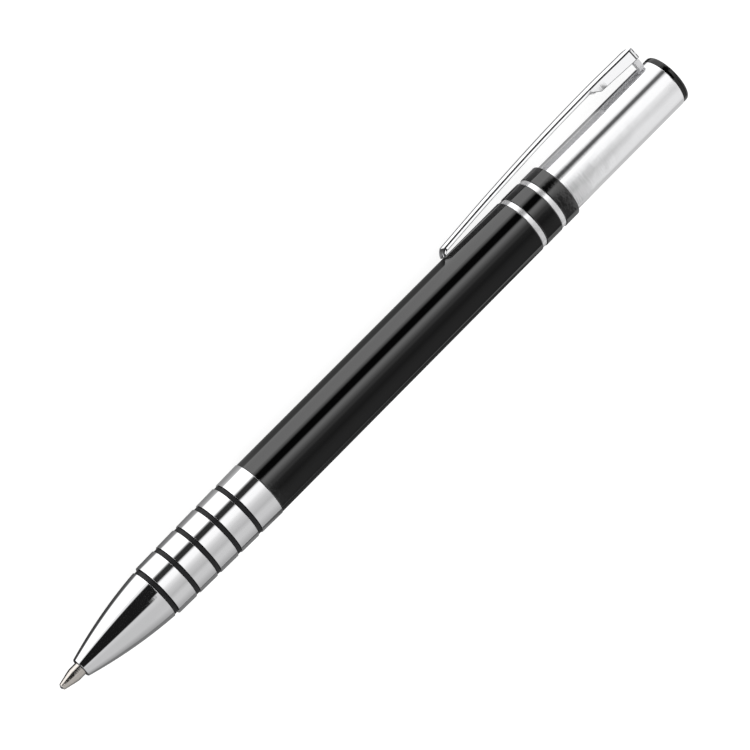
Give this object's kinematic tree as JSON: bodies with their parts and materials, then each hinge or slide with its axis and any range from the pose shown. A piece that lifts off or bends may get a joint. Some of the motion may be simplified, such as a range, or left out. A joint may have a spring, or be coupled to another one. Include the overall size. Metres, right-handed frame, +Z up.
{
  "type": "retractable pen",
  "caption": "Metal click ballpoint pen: ringed chrome grip, black barrel, chrome plunger sleeve with a sheet-metal pocket clip, point out.",
  "frame": {"origin": "centre of the pen's box, on the surface that the pen lies on", "axes": "+X along the pen from the point to the cap, +Z up, with the clip on the +Y side just below the axis"},
  "size_m": [0.136, 0.0132, 0.0102],
  "materials": {
    "chrome": "mirror polished plating",
    "black_lacquer": "high-gloss lacquer",
    "black_rubber": "satin",
    "brass": "turned",
    "nickel_silver": "turned",
    "steel": "drawn",
    "carbide": "lapped",
    "white_plastic": "moulded",
    "black_plastic": "moulded"
  },
  "bodies": {
    "barrel": {"front_section": "chrome", "grip_ring_1": "black_rubber", "grip_ring_2": "black_rubber", "grip_ring_3": "black_rubber", "grip_ring_4": "black_rubber", "grip_ring_5": "black_rubber", "thread_insert": "brass", "barrel_tube": "black_lacquer", "collar_ring_1": "chrome", "collar_band": "black_lacquer", "collar_ring_2": "chrome", "guide_bush": "black_lacquer", "cam_housing": "white_plastic", "return_spring": "steel"},
    "plunger": {"plunger_sleeve": "chrome", "plunger_core": "black_plastic", "push_rod": "black_plastic", "end_cap": "black_lacquer"},
    "clip": {"pocket_clip": "chrome"},
    "refill": {"refill_tube": "steel", "refill_tip": "nickel_silver", "refill_plug": "black_plastic"},
    "cam": {"cam_rotor": "white_plastic"},
    "ball": {"writing_ball": "carbide"}
  },
  "joints": [
    {"name": "plunger_slide", "type": "slide", "parent": "barrel", "child": "plunger", "axis": [1, 0, 0], "range_m": [-0.0012, 0.0055]},
    {"name": "refill_slide", "type": "slide", "parent": "barrel", "child": "refill", "axis": [1, 0, 0], "range_m": [-0.0012, 0.0055], "deforming": ["return_spring"]},
    {"name": "cam_turn", "type": "hinge", "parent": "refill", "child": "cam", "pos_m": [0.032, -0.00151, 0.00508], "axis": [1, 0, 0], "continuous": true},
    {"name": "ball_roll", "type": "hinge", "parent": "refill", "child": "ball", "pos_m": [-0.06746, -0.00151, 0.00508], "axis": [0, 0, 1], "continuous": true},
    {"name": "clip_flex", "type": "hinge", "parent": "plunger", "child": "clip", "pos_m": [0.0654, 0.00269, 0.0032], "axis": [0, -0.4083, -0.9128], "range_deg": [0, 4], "stiffness_Nm_per_rad": 1.5}
  ],
  "couplings": [
    {"joint": "refill_slide", "follows": "plunger_slide", "ratio": 1}
  ]
}
